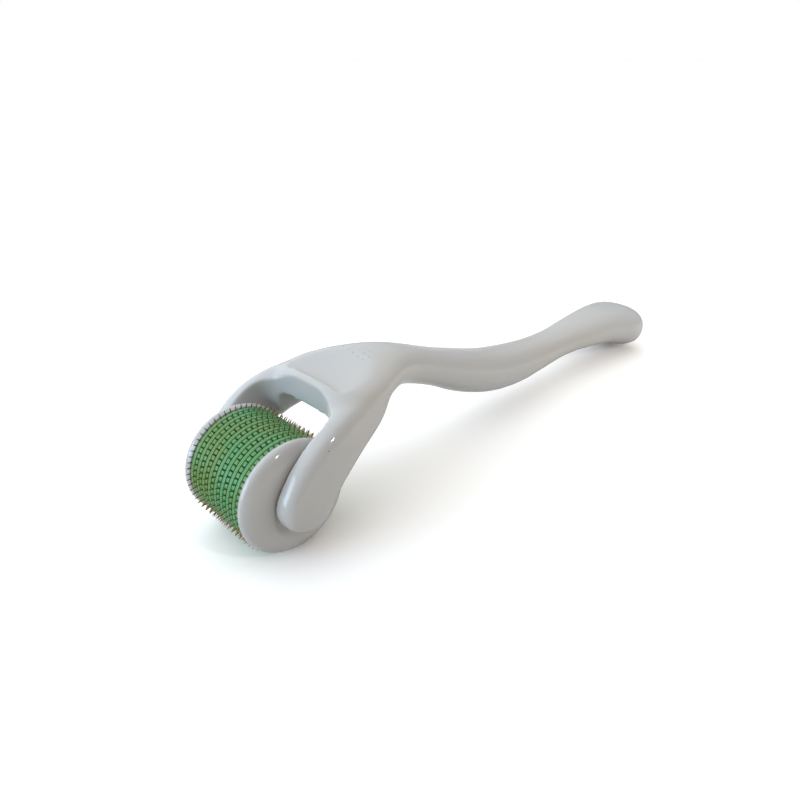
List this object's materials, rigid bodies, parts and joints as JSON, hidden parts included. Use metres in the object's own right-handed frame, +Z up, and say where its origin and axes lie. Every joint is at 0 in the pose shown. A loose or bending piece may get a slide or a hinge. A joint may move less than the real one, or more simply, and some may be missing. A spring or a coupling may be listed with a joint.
{
  "type": "derma roller",
  "caption": "Hand-held micro-needle skin roller: a free-turning drum of stacked needle discs in the fork of a curved one-piece handle.",
  "frame": {"origin": "the middle of the footprint, on the surface that the roller lies on", "axes": "+Z up; +Y from the drum towards the handle's tail; +X along the drum's axle, to the right seen from the drum's side"},
  "size_m": [0.03, 0.1335, 0.0275],
  "materials": {
    "white_plastic": "glossy moulded ABS",
    "green_plastic": "satin moulded plastic",
    "needle_steel": "gold-tinted steel",
    "ivory_plastic": "natural acetal"
  },
  "bodies": {
    "handle": {"handle": "white_plastic"},
    "roller": {"spindle": "ivory_plastic", "left_cap": "white_plastic", "right_cap": "white_plastic", "needle_disc_1": "needle_steel", "needle_disc_2": "needle_steel", "needle_disc_3": "needle_steel", "needle_disc_4": "needle_steel", "needle_disc_5": "needle_steel", "needle_disc_6": "needle_steel", "needle_disc_7": "needle_steel", "needle_disc_8": "needle_steel", "needle_disc_9": "needle_steel", "toothed_ring_1": "green_plastic", "toothed_ring_2": "green_plastic", "toothed_ring_3": "green_plastic", "toothed_ring_4": "green_plastic", "toothed_ring_5": "green_plastic", "toothed_ring_6": "green_plastic", "toothed_ring_7": "green_plastic", "toothed_ring_8": "green_plastic", "smooth_ring_1": "green_plastic", "smooth_ring_2": "green_plastic", "smooth_ring_3": "green_plastic", "smooth_ring_4": "green_plastic", "smooth_ring_5": "green_plastic", "smooth_ring_6": "green_plastic", "smooth_ring_7": "green_plastic", "smooth_ring_8": "green_plastic"}
  },
  "joints": [
    {"name": "roller_spin", "type": "hinge", "parent": "handle", "child": "roller", "pos_m": [0, -0.0555, 0.011], "axis": [1, 0, 0], "continuous": true}
  ]
}
